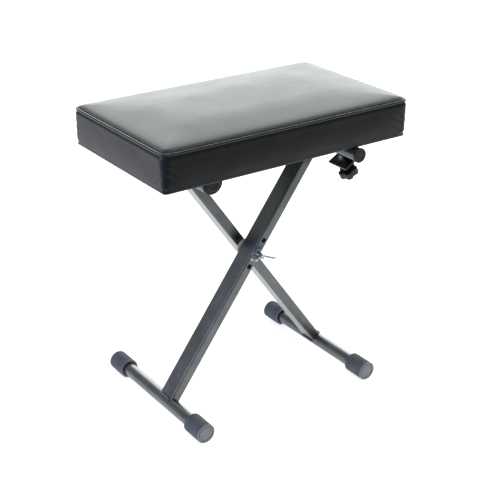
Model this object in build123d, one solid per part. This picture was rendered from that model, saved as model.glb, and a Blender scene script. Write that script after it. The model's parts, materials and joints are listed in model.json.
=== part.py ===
"""Piano bench: a folding X frame of steel tube under a padded vinyl seat.

Millimetres, +Z up, X along the seat, Y from the front of the bench to its back.
The origin is on the floor under the middle of the seat, below the pivot bolt.
"""
import math
import os

from build123d import *

# ---- Driving dimensions -------------------------------------------------------------
# Seat cushion
SEAT_LENGTH = 526.0          # outside the piping, along X
SEAT_WIDTH = 310.0           # outside the piping, along Y
SEAT_BOTTOM = 490.0          # underside of the seat above the floor
SEAM_HEIGHT = 557.0          # middle of the piping above the floor
CROWN_HEIGHT = 567.0         # highest point of the plain cushion
CORNER_RADIUS = 18.0         # plan corner at the piping
FOOT_OF_BAND_INSET = 2.5     # how far the side band leans in at the bottom, each side
BOTTOM_CORNER_RADIUS = 9.0
OPENING_CORNER_RADIUS = 6.0  # of the hem's inner edge and the dust cover
CROWN_RUN = 24.0             # level distance over which the top panel rises
CROWN_CORNER_RADIUS = 8.0
PIPING_RADIUS = 2.5
VINYL = 1.2                  # cover thickness
PANEL_EDGE = 0.6             # upright edge of the top panel
FOAM_EDGE = 0.4              # and of the foam under it
HEM = 1.0                    # vinyl turned under and stapled, and the dust cover beside it
HEM_REACH = 24.0
SHEET_GAP = 0.3              # between a layer and the one beside it
STAPLE_CROWN = 10.0
STAPLE_WIRE = 0.9
STAPLE_PROUD = 0.5           # of the hem
STAPLE_LEG = 7.0
STAPLE_PITCH = 42.0
STAPLES_ALONG_X = 11
STAPLES_ALONG_Y = 6
BOARD = 12.0                 # plywood

# Frame tubes
TUBE_RADIUS = 12.7
TUBE_WALL = 1.5
FOOT_TUBE_X = 189.0
TOP_TUBE_X = 145.0
TOP_TUBE_HEIGHT = 476.0
RIGHT_TUBE_HALF = 153.0      # top tubes without their end caps
LEFT_TUBE_HALF = 118.0
FOOT_HALF = 158.0            # with the rubber caps

# Rubber foot caps
FOOT_CAP_RADIUS = 18.5
FOOT_CAP_LENGTH = 44.0
FOOT_CAP_END = 4.0           # rubber beyond the end of the tube
FLUTES = 30
FLUTE_RADIUS = 0.8
FLUTE_END = 2.5              # plain rubber at each end of a flute
MOUTH_RADIUS = 15.3          # recess where the tube goes in
MOUTH_DEPTH = 4.0
DISC_RING = (13.5, 15.1)     # inner and outer radius of the ring in the end disc
DISC_RING_DEPTH = 1.0
RIB_FLAT = 0.05              # the lowest rib is flat by this much where it rests
FOOT_TUBE_HEIGHT = FOOT_CAP_RADIUS - RIB_FLAT

# Plastic caps of the top tubes
TOP_CAP_RADIUS = 13.6
TOP_CAP_HEAD = 3.0
TOP_CAP_PLUG = 14.0
TOP_CAP_WALL = 2.0
TOP_CAP_EDGE = 1.2           # rounding of the head
TOP_CAP_RING = (7.6, 9.0)
TOP_CAP_RING_DEPTH = 0.5

# Legs: rectangular tube, coped at both ends and welded to the round tubes
LEG_WIDTH = 38.0             # along Y
LEG_DEPTH = 20.0             # in the plane of the X
LEG_WALL = 1.5
LEG_CORNER = 3.0
FRONT_LEG_Y = -27.0
REAR_LEG_Y = 12.0
COPE_GAP = 0.05
HOLE_SIZE = 8.6              # square height holes
HOLE_SPACING = 27.8
PIVOT_HEIGHT = 280.2
WELD_RADIUS = 2.8

# Pivot bolt, washers and wing nut
BOLT_RADIUS = 4.0
BOLT_TIP_Y = -66.0
NECK_SIZE = 8.0
NECK_LENGTH = 5.0
BOLT_HEAD_RADIUS = 9.5
BOLT_HEAD = 4.5
SPACER_RADIUS = 16.0
WASHER_RADIUS = 10.0
WASHER = 1.6
GAP = 0.3                    # between bodies that move past each other
HUB_RADIUS = 7.0
HUB_LENGTH = 12.0
WING_SPAN = 28.0             # axis to wing tip
WING_REACH = 27.0            # wing tip out from the washer
WING_TIP_RADIUS = 6.5
WING_THICKNESS = 3.6
WING_TILT = 8.0              # degrees

# Brackets under the seat
SCREW_RADIUS = 2.9
SCREW_HEAD_RADIUS = 6.0
SCREW_HEAD = 3.6
TNUT_BARREL_RADIUS = 3.9
TNUT_FLANGE_RADIUS = 9.0
TNUT_FLANGE = 1.2
SADDLE_THICKNESS = 2.0
SADDLE_WIDTH = 30.0
SADDLE_Y = LEFT_TUBE_HALF - SADDLE_WIDTH / 2
SADDLE_BLOCK = 18.0          # half the width of the bearing block round the tube
SADDLE_REACH = 40.0          # tube axis to the end of a flange
SADDLE_SCREW = 30.5          # tube axis to a screw
HOOK_THICKNESS = 3.0
HOOK_WIDTH = 48.0
HOOK_Y = 101.0
HOOK_REACH = 46.0
HOOK_SCREW_SPREAD = 12.0

# Clamp knob: its stud passes through the flared lip of the front hook
STUD_ANGLE = -60.0           # degrees from +X towards +Z
STUD_OFFSET = 7.0            # stud axis to tube axis
STUD_TIP = 13.0              # along the stud from the point nearest the tube axis
LIP_DISTANCE = 27.0          # the middle of the lip, along the stud
LIP_REACH = 16.0             # lip beyond the stud axis
KNOB_START = 48.0
KNOB_THICKNESS = 14.0
KNOB_RADIUS = 18.0
KNOB_BOSS_RADIUS = 8.0
KNOB_BOSS = 11.0
KNOB_LOBES = 5
WELD_NUT = 6.5
WELD_NUT_FLATS = 13.0

# ---- Worked out ---------------------------------------------------------------------
LEAN = math.degrees(math.atan2(FOOT_TUBE_X, PIVOT_HEIGHT - FOOT_TUBE_HEIGHT))   # from the vertical
TO_FOOT = math.hypot(FOOT_TUBE_X, PIVOT_HEIGHT - FOOT_TUBE_HEIGHT)
TO_TOP = (TOP_TUBE_X * math.sin(math.radians(LEAN))       # along the leg, level with the top tube
          + (TOP_TUBE_HEIGHT - PIVOT_HEIGHT) * math.cos(math.radians(LEAN)))
BOARD_BOTTOM = SEAT_BOTTOM + HEM
BOARD_TOP = BOARD_BOTTOM + BOARD
PIPED_LENGTH = SEAT_LENGTH - 2 * PIPING_RADIUS
PIPED_WIDTH = SEAT_WIDTH - 2 * PIPING_RADIUS
PIPED_CORNER = CORNER_RADIUS - PIPING_RADIUS
BAND_TOP = SEAM_HEIGHT - PIPING_RADIUS - 0.1
PANEL_BOTTOM = SEAM_HEIGHT + PIPING_RADIUS + 0.1
CLEAR_OF_PIPING = 2 * (PIPING_RADIUS + SHEET_GAP)
FRONT_FACE_Y = FRONT_LEG_Y - LEG_WIDTH / 2
REAR_FACE_Y = REAR_LEG_Y + LEG_WIDTH / 2
WASHER_Y = FRONT_FACE_Y - GAP - WASHER                    # front of the washer
NUT_Y = WASHER_Y - GAP                                    # back of the wing nut
TO_UNDERSIDE = SEAT_BOTTOM - TOP_TUBE_HEIGHT

BRACKET_SCREWS = [(TOP_TUBE_X + 31.0, side * HOOK_Y + spread)
                  for side in (-1, 1) for spread in (-HOOK_SCREW_SPREAD, HOOK_SCREW_SPREAD)]
BRACKET_SCREWS += [(-TOP_TUBE_X + offset, side * SADDLE_Y)
                   for side in (-1, 1) for offset in (-SADDLE_SCREW, SADDLE_SCREW)]

UP = (Align.CENTER, Align.CENTER, Align.MIN)
DOWN = (Align.CENTER, Align.CENTER, Align.MAX)
ABOVE = (Align.CENTER, Align.MIN)                         # of a profile


# ---- Helpers ------------------------------------------------------------------------
def rod(radius, y_from, y_to, x, z):
    """A round bar along Y."""
    return Pos(x, y_to, z) * Rot(90, 0, 0) * Cylinder(radius, y_to - y_from, align=UP)


def tube(half, x, z):
    """A frame tube along Y, open at both ends."""
    return rod(TUBE_RADIUS, -half, half, x, z) - rod(TUBE_RADIUS - TUBE_WALL, -half, half, x, z)


def ring(inner, outer, thickness):
    """A flat ring on the XY plane."""
    return Cylinder(outer, thickness, align=UP) - Cylinder(inner, thickness, align=UP)


def plate_along_y(profile, width, x, y, z):
    """A bent strip: its profile is drawn in X and Z and it is `width` wide along Y."""
    return Pos(x, y, z) * Rot(90, 0, 0) * extrude(profile, width / 2, both=True)


def slab(length, width, corner, z_from, thickness):
    """A flat rounded rectangle."""
    return Pos(0, 0, z_from) * extrude(RectangleRounded(length, width, corner), thickness)


def tapered(bottom, bottom_z, top, top_z):
    """A block whose rounded rectangle changes from bottom to top: (length, width, corner)."""
    return loft([Pos(0, 0, bottom_z) * RectangleRounded(*bottom),
                 Pos(0, 0, top_z) * RectangleRounded(*top)], ruled=True)


def crowned(length, width, corner, z_from, upright, z_to):
    """A panel with an upright edge that then rises to a smaller level top."""
    top = (length - 2 * CROWN_RUN, width - 2 * CROWN_RUN, CROWN_CORNER_RADIUS)
    rise = tapered((length, width, corner), z_from + upright, top, z_to)
    return slab(length, width, corner, z_from, upright) + rise


def write(name, shape):
    """One named piece, one file."""
    export_step(shape, f"parts/{name}.step")


# ---- Frame --------------------------------------------------------------------------
def leg(y, lean):
    """A straight leg through the pivot, with three square holes, coped at both ends."""
    outside = RectangleRounded(LEG_DEPTH, LEG_WIDTH, LEG_CORNER)
    inside = RectangleRounded(LEG_DEPTH - 2 * LEG_WALL, LEG_WIDTH - 2 * LEG_WALL, LEG_CORNER - LEG_WALL)
    bar = Pos(0, 0, -TO_FOOT) * extrude(outside - inside, TO_FOOT + TO_TOP)
    for step in (-1, 0, 1):
        bar -= Pos(0, 0, step * HOLE_SPACING) * Box(HOLE_SIZE, 2 * LEG_WIDTH, HOLE_SIZE)
    bar = Pos(0, y, PIVOT_HEIGHT) * Rot(0, lean, 0) * bar
    side = 1 if lean > 0 else -1
    reach = LEG_WIDTH
    bar -= rod(TUBE_RADIUS + COPE_GAP, y - reach, y + reach, -side * FOOT_TUBE_X, FOOT_TUBE_HEIGHT)
    bar -= rod(TUBE_RADIUS + COPE_GAP, y - reach, y + reach, side * TOP_TUBE_X, TOP_TUBE_HEIGHT)
    return bar


def welds(y, lean):
    """Four beads where the wide faces of a leg meet its two tubes."""
    side = 1 if lean > 0 else -1
    ends = [(-side * FOOT_TUBE_X, FOOT_TUBE_HEIGHT, 1), (side * TOP_TUBE_X, TOP_TUBE_HEIGHT, -1)]
    angle = math.radians(90 - lean)
    along = (math.cos(angle), math.sin(angle))
    across = (-along[1], along[0])
    solid_leg = Pos(0, y, PIVOT_HEIGHT) * Rot(0, lean, 0) * Pos(0, 0, -TO_FOOT) * extrude(
        Rectangle(LEG_DEPTH + 0.1, 2 * LEG_WIDTH), TO_FOOT + TO_TOP)
    beads = []
    for x, z, inward in ends:
        barrel = rod(TUBE_RADIUS + COPE_GAP, y - LEG_WIDTH, y + LEG_WIDTH, x, z)
        off_line = x * across[0] + (z - PIVOT_HEIGHT) * across[1]     # tube axis off the leg's middle
        for edge in (-1, 1):
            face = edge * LEG_DEPTH / 2 - off_line
            reach = inward * math.sqrt(max(TUBE_RADIUS ** 2 - face ** 2, 0.0))
            bead_x = x + reach * along[0] + (face + edge * 0.6) * across[0]
            bead_z = z + reach * along[1] + (face + edge * 0.6) * across[1]
            half = LEG_WIDTH / 2 - LEG_CORNER
            bead = rod(WELD_RADIUS, y - half, y + half, bead_x, bead_z)
            beads.append(bead - solid_leg - barrel)
    return Compound(children=beads)


def foot_cap(x, side):
    """A ribbed rubber cap over the end of a foot tube, open towards the middle."""
    cap = Cylinder(FOOT_CAP_RADIUS, FOOT_CAP_LENGTH, align=UP)
    cap -= Pos(0, 0, -1) * Cylinder(TUBE_RADIUS, FOOT_CAP_LENGTH - FOOT_CAP_END + 1, align=UP)
    cap -= Cylinder(MOUTH_RADIUS, MOUTH_DEPTH, align=UP)
    cap -= Pos(0, 0, FOOT_CAP_LENGTH - DISC_RING_DEPTH) * ring(*DISC_RING, DISC_RING_DEPTH)
    flute = Cylinder(FLUTE_RADIUS, FOOT_CAP_LENGTH - 2 * FLUTE_END, align=UP)
    grooves = [Rot(0, 0, (n + 0.5) * 360 / FLUTES) * Pos(FOOT_CAP_RADIUS, 0, FLUTE_END) * flute
               for n in range(FLUTES)]
    cap = cap - Compound(children=grooves)
    cap = Rot(0, 0, 90) * cap
    cap = Pos(x, side * (FOOT_HALF - FOOT_CAP_LENGTH), FOOT_TUBE_HEIGHT) * Rot(-90 * side, 0, 0) * cap
    under_floor = Box(4 * FOOT_CAP_RADIUS, 4 * FOOT_CAP_LENGTH, FOOT_CAP_RADIUS,
                      align=DOWN)
    return cap - Pos(x, side * FOOT_HALF, 0) * under_floor


def top_cap(x, half, side):
    """A round plastic cap that plugs the end of a top tube."""
    head = Cylinder(TOP_CAP_RADIUS, TOP_CAP_HEAD, align=UP)
    head = fillet(head.edges().group_by(Axis.Z)[-1], TOP_CAP_EDGE)
    head -= Pos(0, 0, TOP_CAP_HEAD - TOP_CAP_RING_DEPTH) * ring(*TOP_CAP_RING, TOP_CAP_RING_DEPTH)
    bore = TUBE_RADIUS - TUBE_WALL
    cap = head + Pos(0, 0, -TOP_CAP_PLUG) * ring(bore - TOP_CAP_WALL, bore, TOP_CAP_PLUG)
    return Pos(x, side * half, TOP_TUBE_HEIGHT) * Rot(-90 * side, 0, 0) * cap


def pivot_bolt():
    """A carriage bolt from the back: dome head, square neck in the rear leg, round shank."""
    shank = rod(BOLT_RADIUS, BOLT_TIP_Y, REAR_FACE_Y, 0, PIVOT_HEIGHT)
    neck = Box(NECK_SIZE, NECK_LENGTH, NECK_SIZE, align=(Align.CENTER, Align.MAX, Align.CENTER))
    neck = Pos(0, REAR_FACE_Y, PIVOT_HEIGHT) * Rot(0, -LEAN, 0) * neck
    head = Cylinder(BOLT_HEAD_RADIUS, BOLT_HEAD, align=UP)
    head = fillet(head.edges().group_by(Axis.Z)[-1], BOLT_HEAD - 0.8)
    return shank + neck + Pos(0, REAR_FACE_Y, PIVOT_HEIGHT) * Rot(-90, 0, 0) * head


def washer(radius, y_from, y_to):
    """A flat ring on the pivot bolt."""
    return rod(radius, y_from, y_to, 0, PIVOT_HEIGHT) - rod(BOLT_RADIUS + 0.2, y_from, y_to, 0, PIVOT_HEIGHT)


def wing_nut():
    """A cast nut: a tapered hub with two ears in one plane."""
    hub = Cone(HUB_RADIUS, HUB_RADIUS - 1.2, HUB_LENGTH, align=UP)
    root = Pos(HUB_RADIUS - 1.0, 5.0) * Circle(4.0)
    tip = Pos(WING_SPAN - WING_TIP_RADIUS, WING_REACH - WING_TIP_RADIUS) * Circle(WING_TIP_RADIUS)
    ear = extrude(make_hull(root.edges() + tip.edges()), WING_THICKNESS / 2, both=True)
    ear = Rot(90, 0, 0) * ear
    nut = hub + ear + mirror(ear, Plane.YZ)
    nut = nut - Pos(0, 0, -1) * Cylinder(BOLT_RADIUS + 0.1, 40, align=UP)
    return Pos(0, NUT_Y, PIVOT_HEIGHT) * Rot(0, WING_TILT, 0) * Rot(90, 0, 0) * nut


# ---- Seat ---------------------------------------------------------------------------
def screw_holes(radius, z_from, z_to):
    """Eight round holes, one for each bracket screw."""
    return Compound(children=[Pos(x, y, z_from) * Cylinder(radius, z_to - z_from, align=UP)
                              for x, y in BRACKET_SCREWS])


def cover_band():
    """The vinyl side band, leaning in towards the bottom, with its hem turned under the board."""
    lean = 2 * FOOT_OF_BAND_INSET
    bottom = (PIPED_LENGTH - lean, PIPED_WIDTH - lean, BOTTOM_CORNER_RADIUS)
    top = (PIPED_LENGTH, PIPED_WIDTH, PIPED_CORNER)
    band = tapered(bottom, SEAT_BOTTOM, top, BAND_TOP)
    inner_bottom = [bottom[0] - 2 * VINYL, bottom[1] - 2 * VINYL, bottom[2] - VINYL]
    inner_top = [top[0] - 2 * VINYL, top[1] - 2 * VINYL, top[2] - VINYL]
    band -= tapered(inner_bottom, BOARD_BOTTOM, inner_top, BAND_TOP)
    opening = (bottom[0] - 2 * HEM_REACH, bottom[1] - 2 * HEM_REACH, OPENING_CORNER_RADIUS)
    band -= slab(*opening, SEAT_BOTTOM, HEM)
    return band - screw_holes(SCREW_RADIUS + 0.3, SEAT_BOTTOM, BOARD_BOTTOM)


def dust_cover():
    """The black cloth that closes the underside inside the hem."""
    inset = 2 * (FOOT_OF_BAND_INSET + HEM_REACH + SHEET_GAP)
    sheet = slab(PIPED_LENGTH - inset, PIPED_WIDTH - inset, OPENING_CORNER_RADIUS, SEAT_BOTTOM, HEM)
    return sheet - screw_holes(SCREW_RADIUS + 0.3, SEAT_BOTTOM, BOARD_BOTTOM)


def seat_board():
    """The plywood board, drilled for the T-nuts."""
    inset = 2 * (FOOT_OF_BAND_INSET + VINYL + SHEET_GAP)
    board = slab(PIPED_LENGTH - inset, PIPED_WIDTH - inset, BOTTOM_CORNER_RADIUS - VINYL, BOARD_BOTTOM, BOARD)
    return board - screw_holes(TNUT_BARREL_RADIUS, BOARD_BOTTOM, BOARD_TOP)


def foam_block():
    """The foam between the board and the top panel, with room for the T-nut flanges."""
    inset = 2 * (FOOT_OF_BAND_INSET + VINYL + 2 * SHEET_GAP)
    bottom = (PIPED_LENGTH - inset, PIPED_WIDTH - inset, BOTTOM_CORNER_RADIUS)
    top = (PIPED_LENGTH - CLEAR_OF_PIPING, PIPED_WIDTH - CLEAR_OF_PIPING, PIPED_CORNER - PIPING_RADIUS)
    foam = tapered(bottom, BOARD_TOP, top, PANEL_BOTTOM)
    foam += crowned(*top, PANEL_BOTTOM, FOAM_EDGE, CROWN_HEIGHT - VINYL)
    return foam - screw_holes(TNUT_FLANGE_RADIUS + GAP, BOARD_TOP, BOARD_TOP + TNUT_FLANGE + GAP)


def cover_top():
    """The crowned vinyl top panel."""
    outer = crowned(PIPED_LENGTH, PIPED_WIDTH, PIPED_CORNER, PANEL_BOTTOM, PANEL_EDGE, CROWN_HEIGHT)
    return outer - foam_block()


def piping():
    """The round welt in the seam all round the top."""
    path = Pos(0, 0, SEAM_HEIGHT) * RectangleRounded(PIPED_LENGTH, PIPED_WIDTH, PIPED_CORNER).wire()
    start = Plane(origin=path @ 0, z_dir=path % 0)
    return sweep(start * Circle(PIPING_RADIUS), path=path)


def t_nuts():
    """Eight T-nuts: a barrel in the board and a flange on top of it."""
    nut = Cylinder(TNUT_BARREL_RADIUS, 9.0, align=DOWN)
    nut += Cylinder(TNUT_FLANGE_RADIUS, TNUT_FLANGE, align=UP)
    nut -= Pos(0, 0, -10) * Cylinder(SCREW_RADIUS + 0.1, 20, align=UP)
    return Compound(children=[Pos(x, y, BOARD_TOP) * nut for x, y in BRACKET_SCREWS])


def bracket_screws():
    """Eight button-head screws up through the brackets into the T-nuts."""
    screws = []
    for x, y in BRACKET_SCREWS:
        plate = HOOK_THICKNESS if x > 0 else SADDLE_THICKNESS
        under = SEAT_BOTTOM - plate
        head = Cylinder(SCREW_HEAD_RADIUS, SCREW_HEAD, align=DOWN)
        head = fillet(head.edges().group_by(Axis.Z)[0], SCREW_HEAD - 1.0)
        shank = Cylinder(SCREW_RADIUS, BOARD_TOP - under, align=UP)
        screws.append(Pos(x, y, under) * (head + shank))
    return Compound(children=screws)


def staples():
    """Wire staples through the hem into the board, all round the underside."""
    bar = Box(STAPLE_CROWN, STAPLE_WIRE, STAPLE_PROUD, align=DOWN)
    for end in (-1, 1):
        bar += Pos(end * (STAPLE_CROWN - STAPLE_WIRE) / 2, 0, 0) * Box(
            STAPLE_WIRE, STAPLE_WIRE, STAPLE_LEG, align=UP)
    edge_x = PIPED_LENGTH / 2 - FOOT_OF_BAND_INSET - HEM_REACH / 2
    edge_y = PIPED_WIDTH / 2 - FOOT_OF_BAND_INSET - HEM_REACH / 2
    places = [Pos((n - (STAPLES_ALONG_X - 1) / 2) * STAPLE_PITCH, side * edge_y, SEAT_BOTTOM)
              for n in range(STAPLES_ALONG_X) for side in (-1, 1)]
    places += [Pos(side * edge_x, (n - (STAPLES_ALONG_Y - 1) / 2) * STAPLE_PITCH, SEAT_BOTTOM) * Rot(0, 0, 90)
               for n in range(STAPLES_ALONG_Y) for side in (-1, 1)]
    return Compound(children=[place * bar for place in places])


# ---- Brackets -----------------------------------------------------------------------
def under_seat(profile):
    """What is left of a tube bracket's profile under the seat."""
    return profile - Pos(0, TO_UNDERSIDE) * Rectangle(2 * SADDLE_REACH, SADDLE_REACH, align=ABOVE)


def bearing_block(y):
    """The nylon block round the left top tube, under its strap."""
    profile = Circle(SADDLE_BLOCK)
    profile += Rectangle(2 * SADDLE_BLOCK, TO_UNDERSIDE, align=ABOVE)
    profile = under_seat(profile) - Circle(TUBE_RADIUS + GAP)
    return plate_along_y(profile, SADDLE_WIDTH, -TOP_TUBE_X, y, TOP_TUBE_HEIGHT)


def saddle(y):
    """A strap under the bearing block, screwed up to the seat on both sides of it."""
    outer = SADDLE_BLOCK + SADDLE_THICKNESS
    profile = under_seat(Circle(outer) + Rectangle(2 * outer, TO_UNDERSIDE, align=ABOVE))
    profile += Pos(0, TO_UNDERSIDE - SADDLE_THICKNESS) * Rectangle(
        2 * SADDLE_REACH, SADDLE_THICKNESS, align=ABOVE)
    profile -= Circle(SADDLE_BLOCK) + Rectangle(2 * SADDLE_BLOCK, 2 * TO_UNDERSIDE, align=ABOVE)
    strap = plate_along_y(profile, SADDLE_WIDTH, -TOP_TUBE_X, y, TOP_TUBE_HEIGHT)
    return strap - screw_holes(SCREW_RADIUS + 0.3, SEAT_BOTTOM - SADDLE_THICKNESS, SEAT_BOTTOM)


def stud_frame(y):
    """The stud's own frame: +Z runs down the stud, from the point nearest the tube axis."""
    angle = math.radians(STUD_ANGLE)
    down = (math.cos(angle), 0, math.sin(angle))
    nearest = (TOP_TUBE_X + STUD_OFFSET * down[2], y, TOP_TUBE_HEIGHT - STUD_OFFSET * down[0])
    return Plane(origin=nearest, x_dir=(0, 1, 0), z_dir=down)


def hook(y, drilled):
    """A bracket beside the right top tube, open to the left, with a flared lower lip."""
    angle = math.radians(STUD_ANGLE)
    wall_x = TUBE_RADIUS + GAP + HOOK_THICKNESS / 2
    lip_x = STUD_OFFSET * math.sin(angle) + LIP_DISTANCE * math.cos(angle)
    lip_z = -STUD_OFFSET * math.cos(angle) + LIP_DISTANCE * math.sin(angle)
    slope = (-math.sin(angle), math.cos(angle))
    bend_z = lip_z + (wall_x - lip_x) * slope[1] / slope[0]
    flange_z = TO_UNDERSIDE - HOOK_THICKNESS / 2
    line = FilletPolyline((HOOK_REACH, flange_z), (wall_x, flange_z), (wall_x, bend_z),
                          (lip_x - LIP_REACH * slope[0], lip_z - LIP_REACH * slope[1]), radius=3.0)
    plate = plate_along_y(trace(line, HOOK_THICKNESS), HOOK_WIDTH, TOP_TUBE_X, y, TOP_TUBE_HEIGHT)
    plate -= screw_holes(SCREW_RADIUS + 0.3, SEAT_BOTTOM - HOOK_THICKNESS, SEAT_BOTTOM)
    if drilled:
        plate -= stud_frame(y) * Pos(0, 0, LIP_DISTANCE) * Cylinder(BOLT_RADIUS + 0.5, 4 * HOOK_THICKNESS)
    return plate


def clamp_weld_nut():
    """The hexagon nut welded to the inside of the front hook's lip."""
    nut = extrude(RegularPolygon(WELD_NUT_FLATS / 2, 6, major_radius=False), WELD_NUT)
    nut -= Cylinder(BOLT_RADIUS + 0.1, 3 * WELD_NUT)
    return stud_frame(-HOOK_Y) * Pos(0, 0, LIP_DISTANCE - HOOK_THICKNESS / 2 - WELD_NUT) * nut


def knob_stud():
    """The threaded stud of the clamp knob."""
    length = KNOB_START + KNOB_THICKNESS - 4.0 - STUD_TIP
    return stud_frame(-HOOK_Y) * Pos(0, 0, STUD_TIP) * Cylinder(BOLT_RADIUS, length, align=UP)


def knob_head():
    """A five-lobed plastic knob with a round boss towards the bracket."""
    outline = Circle(KNOB_RADIUS)
    for n in range(KNOB_LOBES):
        outline -= Rot(0, 0, (n + 0.5) * 360 / KNOB_LOBES) * Pos(KNOB_RADIUS + 5.5, 0) * Circle(9.0)
    head = extrude(outline, KNOB_THICKNESS)
    head = fillet(head.edges().group_by(Axis.Z)[-1] + head.edges().group_by(Axis.Z)[0], 1.8)
    head += Pos(0, 0, -KNOB_BOSS) * Cylinder(KNOB_BOSS_RADIUS, KNOB_BOSS + 1, align=UP)
    head -= Pos(0, 0, -KNOB_BOSS) * Cylinder(BOLT_RADIUS, KNOB_BOSS + KNOB_THICKNESS - 4.0, align=UP)
    return stud_frame(-HOOK_Y) * Pos(0, 0, KNOB_START) * head


# ---- Write every piece --------------------------------------------------------------
os.makedirs("parts", exist_ok=True)

write("front_leg", leg(FRONT_LEG_Y, LEAN))
write("rear_leg", leg(REAR_LEG_Y, -LEAN))
write("front_frame_welds", welds(FRONT_LEG_Y, LEAN))
write("rear_frame_welds", welds(REAR_LEG_Y, -LEAN))
for hand, sign, half in (("left", -1, LEFT_TUBE_HALF), ("right", 1, RIGHT_TUBE_HALF)):
    write(f"{hand}_top_tube", tube(half, sign * TOP_TUBE_X, TOP_TUBE_HEIGHT))
    write(f"{hand}_foot_tube", tube(FOOT_HALF - FOOT_CAP_END, sign * FOOT_TUBE_X, FOOT_TUBE_HEIGHT))
    for end, side in (("front", -1), ("rear", 1)):
        write(f"{hand}_top_cap_{end}", top_cap(sign * TOP_TUBE_X, half, side))
        write(f"{hand}_foot_cap_{end}", foot_cap(sign * FOOT_TUBE_X, side))

write("pivot_bolt", pivot_bolt())
write("pivot_spacer", washer(SPACER_RADIUS, FRONT_LEG_Y + LEG_WIDTH / 2 + GAP, REAR_LEG_Y - LEG_WIDTH / 2))
write("pivot_washer", washer(WASHER_RADIUS, WASHER_Y, FRONT_FACE_Y - GAP))
write("wing_nut", wing_nut())

write("seat_board", seat_board())
write("foam_block", foam_block())
write("cover_top", cover_top())
write("cover_band", cover_band())
write("piping", piping())
write("dust_cover", dust_cover())
write("t_nuts", t_nuts())
write("bracket_screws", bracket_screws())
write("staples", staples())
for end, side in (("front", -1), ("rear", 1)):
    write(f"saddle_{end}", saddle(side * SADDLE_Y))
    write(f"bearing_block_{end}", bearing_block(side * SADDLE_Y))
    write(f"hook_{end}", hook(side * HOOK_Y, drilled=side < 0))
write("clamp_weld_nut", clamp_weld_nut())
write("knob_stud", knob_stud())
write("knob_head", knob_head())
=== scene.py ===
# %% [markdown]
# # A folding piano bench
# The bench is a steel X frame under a padded vinyl seat. The steel, rubber and plastic pieces come from the
# CAD frame and keep their shape, so they only need finishes. The soft seat, its piping, the cloth under it,
# the weld beads and the screw threads are modelled here, where mesh work shows them better.

# %% Load the frame
import json
import math

import bmesh
import bpy
import numpy as np
from mathutils import Matrix, Vector, noise
from mathutils.bvhtree import BVHTree


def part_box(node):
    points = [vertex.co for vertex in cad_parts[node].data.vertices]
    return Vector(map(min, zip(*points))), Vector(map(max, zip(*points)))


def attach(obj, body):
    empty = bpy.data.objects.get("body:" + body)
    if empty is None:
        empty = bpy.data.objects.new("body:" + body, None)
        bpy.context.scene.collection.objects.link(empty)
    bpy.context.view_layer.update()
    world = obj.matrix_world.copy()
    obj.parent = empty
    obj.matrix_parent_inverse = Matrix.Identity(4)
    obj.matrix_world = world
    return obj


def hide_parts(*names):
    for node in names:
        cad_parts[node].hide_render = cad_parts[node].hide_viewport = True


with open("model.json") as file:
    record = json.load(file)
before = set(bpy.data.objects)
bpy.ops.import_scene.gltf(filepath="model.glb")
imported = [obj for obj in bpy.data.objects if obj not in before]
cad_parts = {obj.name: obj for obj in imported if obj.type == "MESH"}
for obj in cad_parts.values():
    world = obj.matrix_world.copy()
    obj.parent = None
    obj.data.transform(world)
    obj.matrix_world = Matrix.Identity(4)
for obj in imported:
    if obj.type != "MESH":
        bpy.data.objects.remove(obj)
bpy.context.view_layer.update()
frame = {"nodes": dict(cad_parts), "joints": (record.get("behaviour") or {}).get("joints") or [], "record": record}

scene = bpy.context.scene
MM = 0.001
print("pieces in the frame:", len(frame["nodes"]))

# %% [markdown]
# ## Small helpers for materials
# Colours are easier to read as the hex values that a painter or a web page uses, but a shader works with
# linear light, so one function converts them. Another adds a shader node with its settings and links in one
# call, which keeps each material short enough to read as a list of layers. Patterns are sized in
# millimetres, so a third turns the width of a feature into the scale of a texture.


# %% Colour and node helpers
CLOUDY = 0.55      # how strongly the finest layers of a noise show


def linear(hex_colour):
    """An sRGB hex colour as linear RGBA."""
    values = [int(hex_colour[i:i + 2], 16) / 255 for i in (1, 3, 5)]
    return [v / 12.92 if v <= 0.04045 else ((v + 0.055) / 1.055) ** 2.4 for v in values] + [1.0]


def fill(tree, node, inputs):
    """Gives a node its inputs: sockets are linked and plain values are set."""
    for name, value in inputs.items():
        if isinstance(value, bpy.types.NodeSocket):
            tree.links.new(value, node.inputs[name])
        else:
            node.inputs[name].default_value = value


def add(tree, kind, inputs=None, **settings):
    """A node in `tree` with its settings and its inputs."""
    node = tree.nodes.new("ShaderNode" + kind)
    for name, value in settings.items():
        setattr(node, name, value)
    fill(tree, node, inputs or {})
    return node


def per(size_mm):
    """The scale of a pattern whose features are this many millimetres across."""
    return 1.0 / (size_mm * MM)


def bare(name):
    """A new material: its tree, its surface shader and the place on the piece, in metres."""
    material = bpy.data.materials.new(name)
    material.use_nodes = True
    tree = material.node_tree
    place = add(tree, "TexCoord").outputs["Object"]
    return material, tree, tree.nodes["Principled BSDF"], place


print("satin grey in linear light:", [round(v, 3) for v in linear("#6a6c6d")[:3]])

# %% [markdown]
# ## Painted steel tube
# The legs and round tubes are mild steel with a baked powder coat in metallic grey. Powder melts into a skin
# with a faint orange peel a few millimetres across, and its aluminium flake gives a soft metallic sheen. So
# the shader is mostly metallic and fairly smooth, the peel is bump, and where edges are handled the coat is
# a little lighter, which comes from the pointiness of the mesh.


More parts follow.
